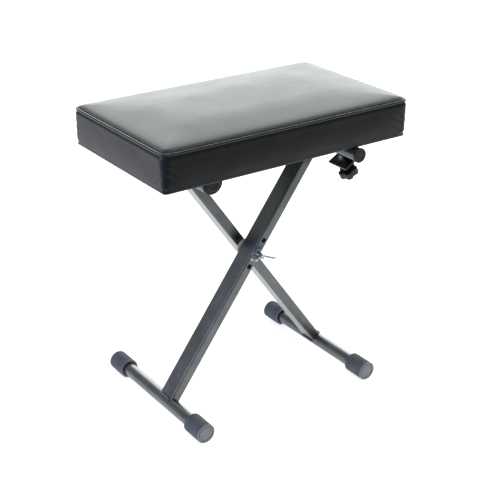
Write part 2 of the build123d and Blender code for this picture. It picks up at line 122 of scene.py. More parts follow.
# %% Grey powder coat, baked
def powder_coat(name, dark, light, metallic, rough_low, rough_high, peel_mm):
    """A baked powder coat with orange peel and a mottled tone."""
    material, tree, shader, place = bare(name)
    mottle = add(tree, "TexNoise", {"Vector": place, "Scale": per(35.0), "Detail": 3.0,
                                    "Roughness": CLOUDY}).outputs["Fac"]
    # real flake is 0.05 mm and would not show
    flake = add(tree, "TexNoise", {"Vector": place, "Scale": per(1.6), "Detail": 1.0,
                                   "Roughness": CLOUDY}).outputs["Fac"]
    peel = add(tree, "TexNoise", {"Vector": place, "Scale": per(peel_mm), "Detail": 2.0,
                                  "Roughness": CLOUDY}).outputs["Fac"]
    share = add(tree, "MapRange", {"Value": mottle, "From Min": 0.3, "From Max": 0.7}).outputs["Result"]
    tone = add(tree, "MixRGB", {"Fac": share, "Color1": linear(dark),
                                "Color2": linear(light)}).outputs["Color"]
    glint = add(tree, "MapRange", {"Value": flake, "To Max": 0.30}).outputs["Result"]
    flecks = add(tree, "MixRGB", {"Fac": glint, "Color1": tone, "Color2": linear(light)},
                 blend_type="SCREEN").outputs["Color"]
    edge = add(tree, "NewGeometry").outputs["Pointiness"]
    worn = add(tree, "MapRange", {"Value": edge, "From Min": 0.53, "From Max": 0.60,
                                  "To Max": 0.35}).outputs["Result"]
    coat = add(tree, "MixRGB", {"Fac": worn, "Color1": flecks, "Color2": linear(light)}).outputs["Color"]
    rough = add(tree, "MapRange", {"Value": mottle, "To Min": rough_low,
                                   "To Max": rough_high}).outputs["Result"]
    relief = add(tree, "Bump", {"Height": peel, "Distance": 0.09 * MM, "Strength": 0.6}).outputs["Normal"]
    fill(tree, shader, {"Base Color": coat, "Roughness": rough, "Metallic": metallic, "Coat Weight": 0.25,
                        "Coat Roughness": 0.22, "Normal": relief})
    return material


grey_coat = powder_coat("grey_powder_coat_baked", "#434545", "#646664", 0.75, 0.25, 0.36, 3.0)
weld_coat = powder_coat("grey_powder_coat_over_weld", "#38393b", "#545657", 0.7, 0.26, 0.40, 2.0)
black_coat = powder_coat("black_powder_coat_baked", "#0c0c0d", "#161617", 0.2, 0.38, 0.52, 2.5)
print("painted steel finishes:", grey_coat.name, weld_coat.name, black_coat.name)

# %% [markdown]
# ## Moulded rubber and moulded plastic
# The foot caps are moulded grey rubber: no sheen to speak of, a dusty bloom in soft patches and a very fine
# sparked texture from the mould. Their end discs are painted paler in patches, which is painted light on
# them. The knob, the tube caps and the bearing blocks are black plastic, whose mould leaves a finer,
# slightly glossier skin. Both are dielectrics, so only tone, roughness and relief vary.


# %% Rubber and plastic
def moulded(name, dark, light, rough_low, rough_high, grain_mm, grain_depth, specular, painted_end_light=None):
    """A moulded part with bloom and a fine spark texture, and painted light on the faces across Y if asked."""
    material, tree, shader, place = bare(name)
    bloom = add(tree, "TexNoise", {"Vector": place, "Scale": per(14.0), "Detail": 3.0,
                                   "Roughness": CLOUDY}).outputs["Fac"]
    share = add(tree, "MapRange", {"Value": bloom, "From Min": 0.3, "From Max": 0.72}).outputs["Result"]
    colour = add(tree, "MixRGB", {"Fac": share, "Color1": linear(dark),
                                  "Color2": linear(light)}).outputs["Color"]
    # painted light: faces across Y, the end discs, are mixed towards a paler grey in patches
    if painted_end_light:
        normal = add(tree, "TexCoord").outputs["Normal"]
        facing = add(tree, "SeparateXYZ", {"Vector": normal}).outputs["Y"]
        square = add(tree, "Math", {0: facing, 1: facing}, operation="MULTIPLY").outputs[0]
        end = add(tree, "MapRange", {"Value": square, "From Min": 0.75, "From Max": 0.95}).outputs["Result"]
        patches = add(tree, "TexNoise", {"Vector": place, "Scale": per(3.0), "Detail": 4.0,
                                         "Roughness": CLOUDY}).outputs["Fac"]
        strength = add(tree, "MapRange", {"Value": patches, "To Min": 0.3}).outputs["Result"]
        end_light_share = add(tree, "Math", {0: end, 1: strength}, operation="MULTIPLY").outputs[0]
        colour = add(tree, "MixRGB", {"Fac": end_light_share, "Color1": colour,
                                      "Color2": linear(painted_end_light)}).outputs["Color"]
    rough = add(tree, "MapRange", {"Value": bloom, "To Min": rough_low,
                                   "To Max": rough_high}).outputs["Result"]
    grain = add(tree, "TexNoise", {"Vector": place, "Scale": per(grain_mm), "Detail": 2.0,
                                   "Roughness": CLOUDY}).outputs["Fac"]
    relief = add(tree, "Bump", {"Height": grain, "Distance": grain_depth * MM, "Strength": 0.6})
    fill(tree, shader, {"Base Color": colour, "Roughness": rough, "Specular IOR Level": specular,
                        "Normal": relief.outputs["Normal"]})
    return material


# the pale grey is painted light on the foot caps' end discs
grey_rubber = moulded("grey_rubber_moulded", "#3f4347", "#575b60", 0.55, 0.72, 1.2, 0.02, 0.45,
                      painted_end_light="#8b8d93")
black_plastic = moulded("black_polypropylene_moulded", "#0b0b0d", "#17171a", 0.36, 0.52, 0.8, 0.03, 0.45)
nylon = moulded("natural_nylon_moulded", "#c9c6ba", "#dedbd0", 0.4, 0.55, 1.0, 0.02, 0.5)
print("moulded finishes:", grey_rubber.name, black_plastic.name, nylon.name)

# %% [markdown]
# ## Zinc on steel
# The bolt, washer, screws and staples are steel with bright zinc plating, and the wing nut is cast and then
# plated. Zinc is a metal, so it keeps the default index of refraction and gets its look from roughness:
# soft patches where the plating is thicker, and on the casting a pebbled skin from the mould.


# %% Bright zinc
def zinc(name, dark, light, rough_low, rough_high, skin_mm, skin_depth):
    """Zinc plating with uneven brightness over a turned or cast skin."""
    material, tree, shader, place = bare(name)
    cloud = add(tree, "TexNoise", {"Vector": place, "Scale": per(6.0), "Detail": 4.0,
                                   "Roughness": CLOUDY}).outputs["Fac"]
    share = add(tree, "MapRange", {"Value": cloud, "From Min": 0.3, "From Max": 0.7}).outputs["Result"]
    tone = add(tree, "MixRGB", {"Fac": share, "Color1": linear(dark),
                                "Color2": linear(light)}).outputs["Color"]
    rough = add(tree, "MapRange", {"Value": cloud, "To Min": rough_high,
                                   "To Max": rough_low}).outputs["Result"]
    skin = add(tree, "TexNoise", {"Vector": place, "Scale": per(skin_mm), "Detail": 3.0,
                                  "Roughness": CLOUDY}).outputs["Fac"]
    relief = add(tree, "Bump", {"Height": skin, "Distance": skin_depth * MM, "Strength": 0.6})
    fill(tree, shader, {"Base Color": tone, "Roughness": rough, "Metallic": 1.0,
                        "Normal": relief.outputs["Normal"]})
    return material


plated = zinc("bright_zinc_plated_steel", "#9b9fa2", "#c9cdd0", 0.24, 0.38, 1.0, 0.02)
cast = zinc("bright_zinc_plated_casting", "#8f979c", "#c4cbd0", 0.30, 0.46, 1.8, 0.10)
print("zinc finishes:", plated.name, cast.name)

# %% [markdown]
# ## Plywood
# The seat board is poplar plywood, hidden by the cover and the dust cloth. Bands in height stand for its
# plies, with a long grain along the seat. The bands come out about 12.6 mm apart, far wider than real plies
# of 2 mm, which does not matter on a board that nobody sees.


# %% Rotary-cut plywood
WAVE_RADIANS = 20      # the wave node turns one unit of place into this many radians


def plywood():
    """Stacked plies with grain along the seat."""
    material, tree, shader, place = bare("poplar_plywood_rotary_cut")
    grain_place = add(tree, "Mapping", {"Vector": place, "Scale": (0.08, 1.0, 1.0)}).outputs["Vector"]
    grain = add(tree, "TexNoise", {"Vector": grain_place, "Scale": per(4.0), "Detail": 5.0,
                                   "Roughness": CLOUDY}).outputs["Fac"]
    plies = add(tree, "TexWave", {"Vector": place, "Scale": per(2.0) / WAVE_RADIANS, "Distortion": 0.4},
                bands_direction="Z").outputs["Fac"]
    share = add(tree, "MapRange", {"Value": grain, "From Min": 0.3, "From Max": 0.7}).outputs["Result"]
    wood = add(tree, "MixRGB", {"Fac": share, "Color1": linear("#a98a5e"),
                                "Color2": linear("#d3b98c")}).outputs["Color"]
    glue = add(tree, "MapRange", {"Value": plies, "To Max": 0.35}).outputs["Result"]
    banded = add(tree, "MixRGB", {"Fac": glue, "Color1": wood, "Color2": linear("#7c5f3b")}).outputs["Color"]
    relief = add(tree, "Bump", {"Height": grain, "Distance": 0.1 * MM, "Strength": 0.4}).outputs["Normal"]
    fill(tree, shader, {"Base Color": banded, "Roughness": 0.7, "Normal": relief})
    return material


board_finish = plywood()
print("board finish:", board_finish.name)

# %% [markdown]
# ## Black vinyl upholstery
# The cover is PVC leathercloth: a soft plastic skin on a knitted back, embossed with a leather grain and left
# with a satin top coat. The grain's pebbles are about 1 mm across, too fine to show, so they are drawn at
# 3 mm. A larger, softer unevenness comes from the foam below it, and the roughness varies with it, which
# breaks the reflection up into soft patches.


# %% Embossed vinyl
def vinyl(name, pebble_mm, depth_mm, rough_low, rough_high, specular):
    """Embossed PVC leathercloth."""
    material, tree, shader, place = bare(name)
    warp = add(tree, "TexNoise", {"Vector": place, "Scale": per(9.0), "Detail": 2.0}).outputs["Color"]
    bent = add(tree, "VectorMath", {0: warp, 1: (0.0022, 0.0022, 0.0022)}, operation="MULTIPLY").outputs[0]
    grain_place = add(tree, "VectorMath", {0: place, 1: bent}, operation="ADD").outputs[0]
    pebbles = add(tree, "TexVoronoi", {"Vector": grain_place, "Scale": per(pebble_mm)},
                  feature="SMOOTH_F1").outputs["Distance"]
    fine = add(tree, "TexNoise", {"Vector": place, "Scale": per(pebble_mm * 0.6), "Detail": 3.0,
                                  "Roughness": CLOUDY}).outputs["Fac"]
    soft = add(tree, "TexNoise", {"Vector": place, "Scale": per(45.0), "Detail": 3.0,
                                  "Roughness": CLOUDY}).outputs["Fac"]
    share = add(tree, "MapRange", {"Value": soft, "From Min": 0.3, "From Max": 0.7}).outputs["Result"]
    tone = add(tree, "MixRGB", {"Fac": share, "Color1": linear("#0a0b0e"),
                                "Color2": linear("#111217")}).outputs["Color"]
    # painted shade: the valleys between the grain's pebbles are darkened in the colour
    valley_shade = add(tree, "MapRange", {"Value": pebbles, "From Min": 0.45, "From Max": 0.9,
                                     "To Max": 0.5}).outputs["Result"]
    grained = add(tree, "MixRGB", {"Fac": valley_shade, "Color1": tone,
                                   "Color2": linear("#07070a")}).outputs["Color"]
    blotches = add(tree, "Math", {0: soft, 1: fine}, operation="ADD").outputs[0]
    rough = add(tree, "MapRange", {"Value": blotches, "From Min": 0.7, "From Max": 1.3,
                                   "To Min": rough_low, "To Max": rough_high}).outputs["Result"]
    # three layers of relief, each laid on the one before: the foam's sag, the skin, the pebbles
    sag = add(tree, "Bump", {"Height": soft, "Distance": 0.3 * MM, "Strength": 0.25}).outputs["Normal"]
    skin = add(tree, "Bump", {"Height": fine, "Distance": depth_mm * 0.5 * MM, "Strength": 0.5,
                              "Normal": sag}).outputs["Normal"]
    domes = add(tree, "Math", {0: 1.0, 1: pebbles}, operation="SUBTRACT").outputs[0]
    relief = add(tree, "Bump", {"Height": domes, "Distance": depth_mm * MM, "Strength": 0.6,
                                "Normal": skin}).outputs["Normal"]
    fill(tree, shader, {"Base Color": grained, "Roughness": rough, "Specular IOR Level": specular,
                        "Normal": relief})
    return material


seat_vinyl = vinyl("black_pvc_leathercloth_embossed", 3.0, 0.30, 0.37, 0.42, 0.32)
piping_vinyl = vinyl("black_pvc_piping_extruded", 3.0, 0.03, 0.24, 0.32, 0.6)
print("seat finishes:", seat_vinyl.name, piping_vinyl.name)

# %% [markdown]
# ## Spun-bonded dust cloth
# The underside is closed with a thin black cloth of plastic fibres pressed together hot. Its dimples are
# about 1 mm apart in a square pattern, drawn 2.5 mm apart so that they show. It hardly shines, so the dents
# and a fibrous noise are added up as one shallow relief under a rough surface.


# %% Spun-bonded cloth
def dust_cloth_finish():
    """Black non-woven cloth with pressed dots."""
    material, tree, shader, place = bare("black_polypropylene_cloth_spun_bonded")
    fibres = add(tree, "TexNoise", {"Vector": place, "Scale": per(1.2), "Detail": 6.0,
                                    "Roughness": 0.7}).outputs["Fac"]
    dots = add(tree, "TexVoronoi", {"Vector": place, "Scale": per(2.5),
                                    "Randomness": 0.0}).outputs["Distance"]
    share = add(tree, "MapRange", {"Value": fibres, "From Min": 0.35, "From Max": 0.7}).outputs["Result"]
    tone = add(tree, "MixRGB", {"Fac": share, "Color1": linear("#0d0d0e"),
                                "Color2": linear("#232325")}).outputs["Color"]
    height = add(tree, "Math", {0: dots, 1: fibres}, operation="ADD").outputs[0]
    relief = add(tree, "Bump", {"Height": height, "Distance": 0.25 * MM, "Strength": 0.7}).outputs["Normal"]
    fill(tree, shader, {"Base Color": tone, "Roughness": 0.9, "Specular IOR Level": 0.2, "Normal": relief})
    return material


cloth_finish = dust_cloth_finish()
print("underside finish:", cloth_finish.name)

# %% [markdown]
# ## Give the CAD pieces their finishes
# Each CAD piece that stays visible keeps its mesh and only gets a material. The record says which material
# slot each piece belongs to, so the finish is chosen by slot.

# %% Finish the carried-over pieces
FINISHES = {"frame_paint": grey_coat, "painted_weld": weld_coat, "grey_rubber": grey_rubber,
            "black_plastic": black_plastic, "zinc_steel": plated, "zinc_casting": cast, "nylon": nylon,
            "plywood": board_finish, "foam": board_finish, "vinyl": seat_vinyl, "vinyl_piping": piping_vinyl,
            "dust_cloth": cloth_finish, "black_steel": black_coat}
for row in frame["record"]["subparts"]:
    node = frame["nodes"][row["node"]]
    node.data.materials.clear()
    node.data.materials.append(FINISHES[row["material_slot"]])

# %% [markdown]
# ## The cushion's blank
# An upholsterer glues foam to the board, pulls a boxed cover over it and staples it under the board. The
# blank is the plain form of that box: rings of a rounded rectangle, from the underside, up the leaning
# side band to the seam and over the top. Its sizes come from the CAD pieces that it stands for.


# %% Rounded rectangle rings
def outline(half_x, half_y, corner, count=160):
    """Points evenly spaced round a rounded rectangle."""
    straight_x, straight_y, arc = 2 * (half_x - corner), 2 * (half_y - corner), corner * math.pi / 2
    total = 2 * straight_x + 2 * straight_y + 4 * arc
    centre_x, centre_y = half_x - corner, half_y - corner
    points = []
    for n in range(count):
        left = total * n / count
        for quarter in range(4):
            turn = Matrix.Rotation(quarter * math.pi / 2, 2)
            run = straight_y if quarter % 2 == 0 else straight_x
            reach = (half_x, centre_y) if quarter % 2 == 0 else (half_y, centre_x)
            if left <= run:
                local = Vector((reach[0], -reach[1] + left))
            elif left <= run + arc:
                angle = (left - run) / corner
                local = Vector((reach[0] - corner + corner * math.cos(angle),
                                reach[1] + corner * math.sin(angle)))
            else:
                left -= run + arc
                continue
            points.append(turn @ local)
            break
    return points


def box_of(name):
    """Half sizes and heights of a CAD piece centred on the origin: half x, half y, low z, high z."""
    low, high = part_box(name)
    return (high.x - low.x) / 2, (high.y - low.y) / 2, low.z, high.z


PIPING_X, PIPING_Y, PIPING_LOW, PIPING_HIGH = box_of("piping")
PIPING_RADIUS = (PIPING_HIGH - PIPING_LOW) / 2
SEAM_Z = (PIPING_HIGH + PIPING_LOW) / 2
SEAM_X, SEAM_Y = PIPING_X - PIPING_RADIUS, PIPING_Y - PIPING_RADIUS
SEAM_CORNER = 15.5 * MM
SEAT_LOW = box_of("cover_band")[2]
HEM = 24 * MM
FOOT_INSET = 2.5 * MM
FOOT_CORNER = 8.5 * MM
print("seam:", round(2 * SEAM_X, 4), "x", round(2 * SEAM_Y, 4), "at", round(SEAM_Z, 4))


# %% [markdown]
# ## Stack the rings
# A ring of points at each height, joined to the next by four-sided faces, is the simplest way to a closed box
# with rounded corners. The first and last rings are closed with one flat face each. The helpers are also used
# for the tubes and sheets further on.


# %% Stack the rings into the blank
def mesh_object(name, vertices, faces):
    """A new smooth-shaded mesh piece."""
    mesh = bpy.data.meshes.new(name)
    mesh.from_pydata([tuple(v) for v in vertices], [], faces)
    mesh.validate()
    mesh.shade_smooth()
    piece = bpy.data.objects.new(name, mesh)
    scene.collection.objects.link(piece)
    return piece


def stack(rings, closed_ends=True):
    """Vertices and faces of a stack of rings with the same number of points."""
    count = len(rings[0])
    vertices = [p for ring in rings for p in ring]
    faces = [(a * count + b, a * count + (b + 1) % count,
              (a + 1) * count + (b + 1) % count, (a + 1) * count + b)
             for a in range(len(rings) - 1) for b in range(count)]
    if closed_ends:
        faces.append(tuple(reversed(range(count))))
        faces.append(tuple(range((len(rings) - 1) * count, len(rings) * count)))
    return vertices, faces


SEAM_HEIGHT = (SEAM_Z - SEAT_LOW) / MM
PANEL_HEIGHT = SEAM_HEIGHT + 2
# (inset from the seam, height, plan corner) in millimetres, underside first
PROFILE = [(60, 0, 8), (30, 0, 8), (8, 0, 8), (2.5, 0, 9), (1.5, 35, 13), (1, PANEL_HEIGHT, 15.5),
           (10, PANEL_HEIGHT, 15.5), (30, PANEL_HEIGHT, 15.5), (60, PANEL_HEIGHT, 15.5),
           (110, PANEL_HEIGHT, 15.5)]
rings = []
for inset, height, corner in PROFILE:
    flat = outline(SEAM_X - inset * MM, SEAM_Y - inset * MM, corner * MM)
    rings.append([(p.x, p.y, SEAT_LOW + height * MM) for p in flat])
cushion = mesh_object("seat_cushion", *stack(rings))
print("cushion blank:", len(cushion.data.vertices), "points")

# %% [markdown]
# ## Inflate it as cloth
# Real foam pushes the cover out until it is tight. The blank is remeshed into even squares of 5 mm, so that
# it can swell the same way everywhere. The simulation moves the points of this mesh, and the final one is
# finer, so the places of the finer points are taken from a subdivided copy, before and after.

# %% Remesh into even squares
VOXEL = 5 * MM


def apply_modifiers(piece):
    """Replaces a piece's mesh with its evaluated one, and leaves no modifier on it."""
    graph = bpy.context.evaluated_depsgraph_get()
    mesh = bpy.data.meshes.new_from_object(piece.evaluated_get(graph))
    piece.modifiers.clear()
    old, piece.data = piece.data, mesh
    bpy.data.meshes.remove(old)


def fine_points(mesh):
    """Where the points of a mesh lie after one subdivision."""
    probe = bpy.data.objects.new("probe", mesh.copy())
    scene.collection.objects.link(probe)
    probe.modifiers.new("Fine squares", "SUBSURF").levels = 1
    apply_modifiers(probe)
    points = [v.co.copy() for v in probe.data.vertices]
    bpy.data.meshes.remove(probe.data)
    return points


remesh = cushion.modifiers.new("Even squares", "REMESH")
remesh.mode, remesh.voxel_size = "VOXEL", VOXEL
apply_modifiers(cushion)
blank = fine_points(cushion.data)
print("cushion remeshed:", len(cushion.data.vertices), "points, and", len(blank), "after one subdivision")

# %% [markdown]
# ## Put it under pressure
# Cloth physics with a little air pressure stands for the foam. The board holds the underside, so those points
# are pinned. Sixteen steps are enough, because only the direction and the spread of the swelling are wanted.

# %% Inflate the cover
PINNED_BELOW = SEAT_LOW + 4 * MM
STEPS = 16
board = cushion.vertex_groups.new(name="board")
for v in cushion.data.vertices:
    held = 1.0 if v.co.z < PINNED_BELOW else 0.0
    board.add([v.index], held, "REPLACE")
cloth = cushion.modifiers.new("Cover under pressure", "CLOTH")
cloth.settings.quality = 4
cloth.settings.use_pressure = True
cloth.settings.uniform_pressure_force = 4.0
cloth.settings.tension_stiffness = cloth.settings.compression_stiffness = 12.0
cloth.settings.bending_stiffness = 0.6
cloth.settings.vertex_group_mass = "board"
cloth.settings.effector_weights.gravity = 0.0
for step in range(1, STEPS + 1):
    scene.frame_set(step)
apply_modifiers(cushion)
scene.frame_set(1)
inflated = fine_points(cushion.data)
print("cover inflated:", f"{STEPS} steps")

# %% [markdown]
# ## Scale and smooth the swelling
# Foam gives far less than air, so the swelling is scaled down until no point moves more than 4 mm. Then each
# point's movement is mixed with that of its neighbours a number of times, which removes the small waves that
# the simulation leaves, without touching the shape of the blank itself.

# %% Smooth the swelling
LIMIT = 4 * MM
SMOOTHINGS = 24
subdivide = cushion.modifiers.new("Fine squares", "SUBSURF")
subdivide.levels = subdivide.render_levels = 1
apply_modifiers(cushion)
swell = np.array([tuple(b - a) for a, b in zip(blank, inflated)])
swell *= min(1.0, LIMIT / max(np.linalg.norm(swell, axis=1).max(), 1e-9))
edges = np.array([tuple(e.vertices) for e in cushion.data.edges])
links = np.bincount(edges.ravel(), minlength=len(swell))[:, None]
for _ in range(SMOOTHINGS):
    around = np.zeros_like(swell)
    np.add.at(around, edges[:, 0], swell[edges[:, 1]])
    np.add.at(around, edges[:, 1], swell[edges[:, 0]])
    swell = 0.4 * swell + 0.6 * around / links
print("most swelling:", round(np.linalg.norm(swell, axis=1).max() / MM, 1), "mm")

# %% [markdown]
# ## Distances that shape the cover
# The seam, the puckers and the flat underside are made after the simulation, because the remesh would have
# erased them. All are plain sums of smooth functions of a point's distance from the seam and from the
# nearest corner, so one function measures how far outside a rounded rectangle a point lies.


# %% Measure from an outline
def plan_distance(x, y, half_x, half_y, corner):
    """How far a point is outside a rounded rectangle in plan, negative inside, and the way out."""
    qx, qy = abs(x) - (half_x - corner), abs(y) - (half_y - corner)
    if qx > 0 and qy > 0:
        length = math.hypot(qx, qy)
        way = Vector((math.copysign(qx, x), math.copysign(qy, y), 0)) / max(length, 1e-9)
        return length - corner, way
    if qx > qy:
        return qx - corner, Vector((math.copysign(1, x), 0, 0))
    return qy - corner, Vector((0, math.copysign(1, y), 0))


def bell(distance, width):
    """1 at no distance, falling smoothly away over `width`."""
    return math.exp(-(distance / width) ** 2)


outside = plan_distance(SEAM_X + 10 * MM, 0, SEAM_X, SEAM_Y, SEAM_CORNER)[0]
print("a point 10 mm outside the seam measures", round(outside / MM, 1), "mm out")

# %% [markdown]
# ## Seam and puckers
# Stitching pulls the cover in along the piping, so the surface dips to the seam line from both sides. At the
# corners the band is gathered and pulled down under the board, which leaves short slanting puckers.


# %% Groove and gathers
PUCKER = 1.0 * MM


def seam_groove(out, height):
    """How far in, in metres, the thread pulls a point of the cover."""
    near = bell(height - SEAM_HEIGHT, 3.6) * bell(min(out, 0.0) / MM, 7)
    return max(out + 3.4 * MM, 0.0) * near


def corner_pucker(co, height):
    """How far in, in metres, the gathers beside the corners lie."""
    from_x, from_y = SEAM_X - abs(co.x), SEAM_Y - abs(co.y)
    along = max(from_x, from_y) / MM
    gather = bell(along - 14, 16) * bell(height - 31, 15)
    gather += 0.35 * bell(along - 30, 30) * bell(height - 26, 24)
    wander = 1.6 * noise.noise(co * 28)
    phase = 0.42 * height + 0.30 * along * math.copysign(1, co.x * co.y) + wander
    return PUCKER * gather * max(0.0, math.sin(phase)) ** 2


print("deepest pucker:", PUCKER / MM, "mm")

# %% [markdown]
# ## Edges and crown
# Stitched edges are crisper than the remesh leaves them, so points near an edge are pushed out to a squarer
# curve. The panel rises steeply just inside its edge and then slowly to the middle, as foam does under a
# tight cover.


# %% Square the edges and raise the crown
def squared(side, up, reach, sharpness):
    """Pushes a point near a rounded edge out to a squarer one; both distances are from an inner anchor."""
    if side <= 0 or up <= 0:
        return side, up
    size = ((side / reach) ** sharpness + (up / reach) ** sharpness) ** (-1 / sharpness)
    blend = min(up if side > up else side, 5.0) / 5.0
    size = 1 + (size - 1) * blend
    return side * size, up * size


def eased(share):
    """0 to 1 with a smooth start and end."""
    share = min(max(share, 0.0), 1.0)
    return share * share * (3 - 2 * share)


def crown(inset):
    """How far the panel rises inside its edge, in millimetres."""
    return 6.0 * (1 - math.exp(-inset / 14)) + 2.0 * (1 - math.exp(-inset / 60))


print("crown at 10 and 100 mm from the edge:", round(crown(10), 1), round(crown(100), 1), "mm")

# %% [markdown]
# ## Dress the cushion
# One function puts the parts together for a single point: the lean of the band, the squared edges, the crown,
# the seam, the puckers and the flat hem. The smoothed swelling is added last, and is held back near the seam
# and the board, where the real cover is fixed.

# %% Dress every point
EDGE = 8          # how far from an edge its squaring reaches, in millimetres
PANEL_EASE = 110 * MM


def dress(co):
    """Where a point of the cover lies once it is sewn and stapled."""
    height = (co.z - SEAT_LOW) / MM
    part = min(max(height / SEAM_HEIGHT, 0.0), 1.0)
    inset = FOOT_INSET * (1 - part)
    corner = FOOT_CORNER + (SEAM_CORNER - FOOT_CORNER) * part
    out, way = plan_distance(co.x, co.y, SEAM_X - inset, SEAM_Y - inset, corner)
    new_out, new_height = out / MM, height
    if out > -EDGE * MM and height < EDGE:
        side, down = squared(new_out + EDGE, EDGE - height, EDGE, 7)
        new_out, new_height = side - EDGE, EDGE - down
    elif out > -EDGE * MM and height > PANEL_HEIGHT - EDGE:
        side, up = squared(new_out + EDGE, height - PANEL_HEIGHT + EDGE, EDGE, 4)
        new_out, new_height = side - EDGE, PANEL_HEIGHT - EDGE + up
    elif out > -EDGE * MM:
        new_out = 0.0
    if new_height > SEAM_HEIGHT - 4:
        new_height += crown(max(-new_out, 0.0)) * min((new_height - SEAM_HEIGHT + 4) / 6, 1.0)
    new_out -= seam_groove(new_out * MM, new_height) / MM
    if new_out > -6 and height < SEAM_HEIGHT:
        new_out -= corner_pucker(co, height) / MM
        new_out += 0.5 * noise.noise(co * 20) * min(max(height - 6, 0) / 12, 1.0)
    if new_height < 1.5 and new_out < -6:
        new_height = 0.2 + 1.3 * min(max((-new_out - HEM / MM) / 4, 0.0), 1.0)
    result = co + way * (new_out * MM - out)
    result.z = SEAT_LOW + new_height * MM
    if new_height > PANEL_HEIGHT:
        result.z += 0.2 * MM * noise.noise(Vector((co.x, co.y, 0)) * 10) * (1 - bell(new_out, 25))
    return result


for v, at, push in zip(cushion.data.vertices, blank, swell):
    height = (at.z - SEAT_LOW) / MM
    free = (1 - bell(height - SEAM_HEIGHT, 7)) * min(max((height - 2) / 14, 0.0), 1.0)
    if height > PANEL_HEIGHT - 3:
        free = eased((SEAM_X - abs(at.x)) / PANEL_EASE) * eased((SEAM_Y - abs(at.y)) / PANEL_EASE)
    v.co = dress(at) + Vector(push) * free
cushion.data.shade_smooth()
cushion.data.materials.clear()
cushion.data.materials.append(seat_vinyl)
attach(cushion, "seat")
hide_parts("foam_block", "cover_top", "cover_band")
size = cushion.dimensions
print("cushion:", [round(s / MM, 1) for s in size], "mm")

# %% [markdown]
# ## Sweep a tube
# Piping, weld beads and threads are all round tubes along a path, so one function sweeps them. It can close
# the path into a ring and take a different thickness at each point.


# %% Tube and search helpers
def tree_of(piece):
    """A search tree of a mesh, for rays and nearest points."""
    mesh = bmesh.new()
    mesh.from_mesh(piece.data)
    tree = BVHTree.FromBMesh(mesh)
    mesh.free()
    return tree


def sweep(name, path, radius, sides=14, closed=True, radii=None):
    """A round tube along a path; `radii` may give its thickness at each point."""
    count = len(path)
    rings = []
    for n, at in enumerate(path):
        after = path[(n + 1) % count] if closed else path[min(n + 1, count - 1)]
        before = path[n - 1] if closed else path[max(n - 1, 0)]
        along = (after - before).normalized()
        across = along.cross(Vector((0, 0, 1))).normalized() if abs(along.z) < 0.95 else Vector((1, 0, 0))
        up = across.cross(along)
        thick = radii[n] if radii else radius
        rings.append([at + thick * (math.cos(t) * across + math.sin(t) * up)
                      for t in (2 * math.pi * k / sides for k in range(sides))])
    vertices, faces = stack(rings, closed_ends=not closed)
    if closed:
        last = (count - 1) * sides
        faces += [(last + k, last + (k + 1) % sides, (k + 1) % sides, k) for k in range(sides)]
    piece = mesh_object(name, vertices, faces)
    mesh = bmesh.new()
    mesh.from_mesh(piece.data)
    bmesh.ops.recalc_face_normals(mesh, faces=mesh.faces)
    mesh.to_mesh(piece.data)
    mesh.free()
    return piece


cover = tree_of(cushion)
print("search tree of the cover made")

# %% [markdown]
# ## Piping
# Piping is a cord of 3 mm wrapped in a strip of the same vinyl and sewn into the seam. Its path isn't the
# drawn outline but the real one: at each place a ray is sent inwards at seam height, and the cord lies in the
# dip that it finds. How far the path may leave the outline is limited, and it is smoothed.

# %% Sweep the piping
path = []
for p in outline(SEAM_X, SEAM_Y, SEAM_CORNER, count=480):
    out, way = plan_distance(p.x, p.y, SEAM_X, SEAM_Y, SEAM_CORNER)
    origin = Vector((p.x, p.y, SEAM_Z)) + way * 0.03
    hit = cover.ray_cast(origin, -way, 0.06)[0]
    depth = (hit - Vector((p.x, p.y, SEAM_Z))).dot(way) if hit else 0.0
    path.append(Vector((p.x, p.y, SEAM_Z)) + way * min(max(depth + 0.9 * MM, -2.0 * MM), 1.0 * MM))
for _ in range(6):
    path = [(path[n - 1] + path[n] + path[(n + 1) % len(path)]) / 3 for n in range(len(path))]
piping = sweep("seat_piping", path, PIPING_RADIUS)
piping.data.materials.append(piping_vinyl)
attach(piping, "seat")
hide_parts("piping")
print("piping length:", round(sum((path[n] - path[n - 1]).length for n in range(len(path))), 3), "m")

# %% [markdown]
# ## Dust cloth
# The cloth under the seat is stapled taut. It is a flat sheet with its own small thickness, uneven by a few
# tenths of a millimetre, with slight tension lines from the edges.

# %% Stretch the dust cloth
low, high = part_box("dust_cover")
LENGTHWAYS, CROSSWAYS = 110, 60
CLOTH = 0.4 * MM


def cloth_height(x, y):
    """The underside of the cloth: almost flat, with tension lines near its edges."""
    edge = min(x - low.x, high.x - x, y - low.y, high.y - y) / MM
    lines = math.sin((x + y) / MM * 0.21) * bell(edge - 12, 14)
    return low.z + 0.35 * MM + 0.12 * MM * lines + 0.15 * MM * noise.noise(Vector((x, y, 0)) * 20)


points = [(low.x + (high.x - low.x) * i / LENGTHWAYS, low.y + (high.y - low.y) * j / CROSSWAYS)
          for j in range(CROSSWAYS + 1) for i in range(LENGTHWAYS + 1)]
under = [(x, y, cloth_height(x, y)) for x, y in points]
row = LENGTHWAYS + 1
faces = [(j * row + i, (j + 1) * row + i, (j + 1) * row + i + 1, j * row + i + 1)
         for j in range(CROSSWAYS) for i in range(LENGTHWAYS)]
dust_cloth = mesh_object("dust_cloth", under, faces)
thicken = dust_cloth.modifiers.new("Cloth thickness", "SOLIDIFY")
thicken.thickness, thicken.offset = CLOTH, -1.0
apply_modifiers(dust_cloth)
dust_cloth.data.materials.clear()
dust_cloth.data.materials.append(cloth_finish)
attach(dust_cloth, "seat")
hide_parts("dust_cover")
print("dust cloth:", round(high.x - low.x, 4), "x", round(high.y - low.y, 4), "m")

# %% [markdown]
# ## Weld beads
# The CAD has a plain bar for each bead of weld, in one piece for each frame, so the bars are found by walking
# the mesh from point to point until a loose part is complete.


